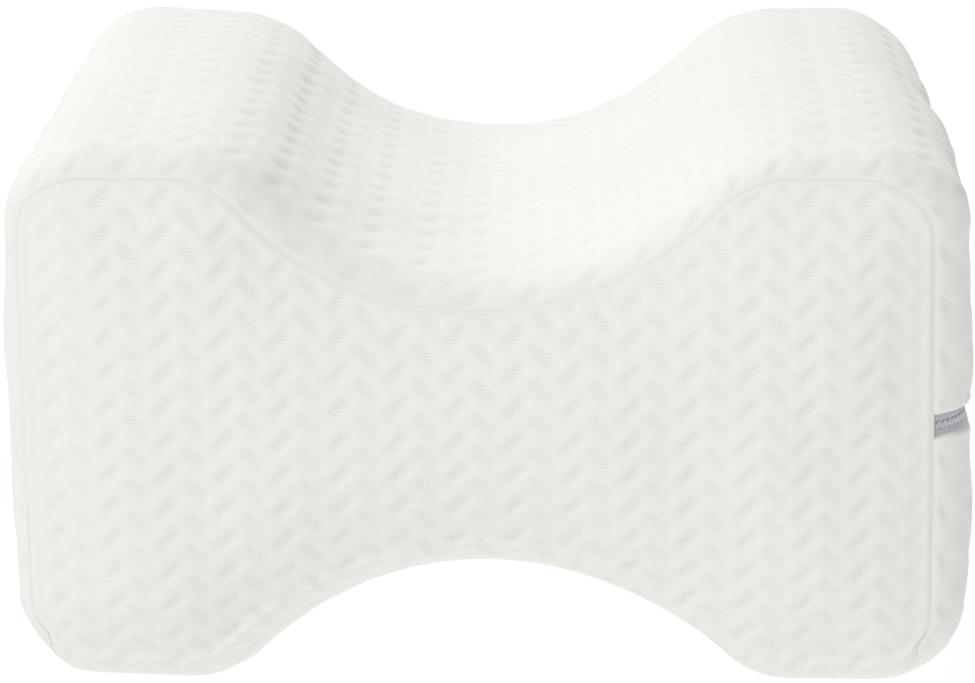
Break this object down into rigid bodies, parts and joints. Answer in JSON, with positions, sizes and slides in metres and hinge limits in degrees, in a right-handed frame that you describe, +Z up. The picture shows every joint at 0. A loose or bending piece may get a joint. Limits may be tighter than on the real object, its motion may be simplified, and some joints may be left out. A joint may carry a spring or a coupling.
{
  "type": "knee pillow",
  "caption": "Hourglass knee pillow: a filled block with an upper leg saddle and a lower leg arch, in a jacquard knit cover with seamed end panels and a side zip.",
  "frame": {"origin": "centre of the base, under the middle of the whole part", "axes": "+X across the two lobes, +Y from the front panel to the back panel, +Z up"},
  "size_m": [0.2505, 0.18, 0.147],
  "materials": {
    "band_knit": "matte jacquard knit, off-white",
    "panel_knit": "matte jacquard knit, warm off-white",
    "zip_nylon": "light grey woven tape and nylon coil",
    "zip_metal": "satin metal"
  },
  "bodies": {
    "root": {"pillow_body": "band_knit", "front_panel": "panel_knit", "back_panel": "panel_knit", "zip_strip": "zip_nylon", "zip_slider": "zip_metal", "zip_pull": "zip_metal"}
  },
  "joints": []
}
